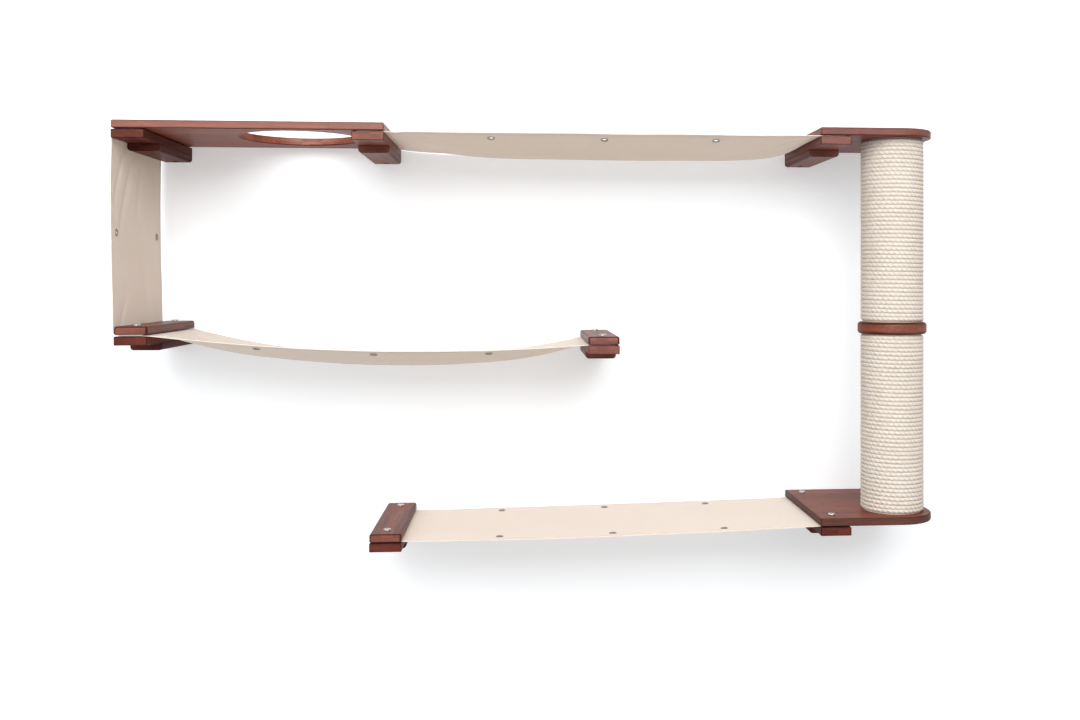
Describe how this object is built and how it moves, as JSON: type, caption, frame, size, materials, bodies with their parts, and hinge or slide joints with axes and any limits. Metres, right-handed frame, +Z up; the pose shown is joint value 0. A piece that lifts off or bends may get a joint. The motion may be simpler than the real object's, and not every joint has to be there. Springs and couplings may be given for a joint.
{
  "type": "wall mounted cat tree",
  "caption": "Wall mounted cat tree: a hatch board, canvas bridge, side panel, hammock and shelf on wooden brackets, with a rope wound post between two boards.",
  "frame": {"origin": "middle of the wall face of the top left bracket", "axes": "+X along the wall to the right, +Y into the wall, +Z up; the front faces -Y"},
  "size_m": [1.4446, 0.279, 0.7558],
  "materials": {
    "stained_wood": "satin",
    "canvas": "matte",
    "sisal_rope": "matte",
    "core_tube": "matte",
    "plain_wood": "matte",
    "brass": "satin",
    "steel": "satin"
  },
  "bodies": {
    "root": {"bar_hammock_left": "stained_wood", "bar_hammock_right": "stained_wood", "bar_hatch_left": "stained_wood", "bar_hatch_right": "stained_wood", "bar_post_bottom": "stained_wood", "bar_post_top": "stained_wood", "bar_shelf_left": "stained_wood", "bolt_hammock_left_front": "steel", "bolt_hammock_left_rear": "steel", "bolt_hammock_right_front": "steel", "bolt_hammock_right_rear": "steel", "bolt_hatch_left_front": "steel", "bolt_hatch_left_rear": "steel", "bolt_hatch_right_front": "steel", "bolt_hatch_right_rear": "steel", "bolt_post_bottom_front": "steel", "bolt_post_bottom_rear": "steel", "bolt_post_top_front": "steel", "bolt_post_top_rear": "steel", "bolt_shelf_left_front": "steel", "bolt_shelf_left_rear": "steel", "canvas_bridge": "canvas", "canvas_hammock": "canvas", "canvas_panel": "canvas", "canvas_shelf": "canvas", "core_lower": "core_tube", "core_upper": "core_tube", "eyelets_bridge": "steel", "eyelets_hammock": "steel", "eyelets_panel": "steel", "eyelets_shelf": "steel", "foot_hammock_left": "stained_wood", "foot_hammock_right": "stained_wood", "foot_hatch_left": "stained_wood", "foot_hatch_right": "stained_wood", "foot_post_bottom": "stained_wood", "foot_post_top": "stained_wood", "foot_shelf_left": "stained_wood", "hatch_board": "stained_wood", "inserts_lower_row": "brass", "inserts_middle_row": "brass", "inserts_top_row": "brass", "lower_post_board": "stained_wood", "plank_hammock_left": "stained_wood", "plank_hammock_right": "stained_wood", "plank_shelf_left": "stained_wood", "plug_lower_base": "plain_wood", "plug_lower_top": "plain_wood", "plug_upper_base": "plain_wood", "plug_upper_top": "plain_wood", "post_bolt_base": "steel", "post_bolt_top": "steel", "post_disc": "stained_wood", "post_stud": "steel", "rope_lower": "sisal_rope", "rope_upper": "sisal_rope", "upper_post_board": "stained_wood"}
  },
  "joints": []
}
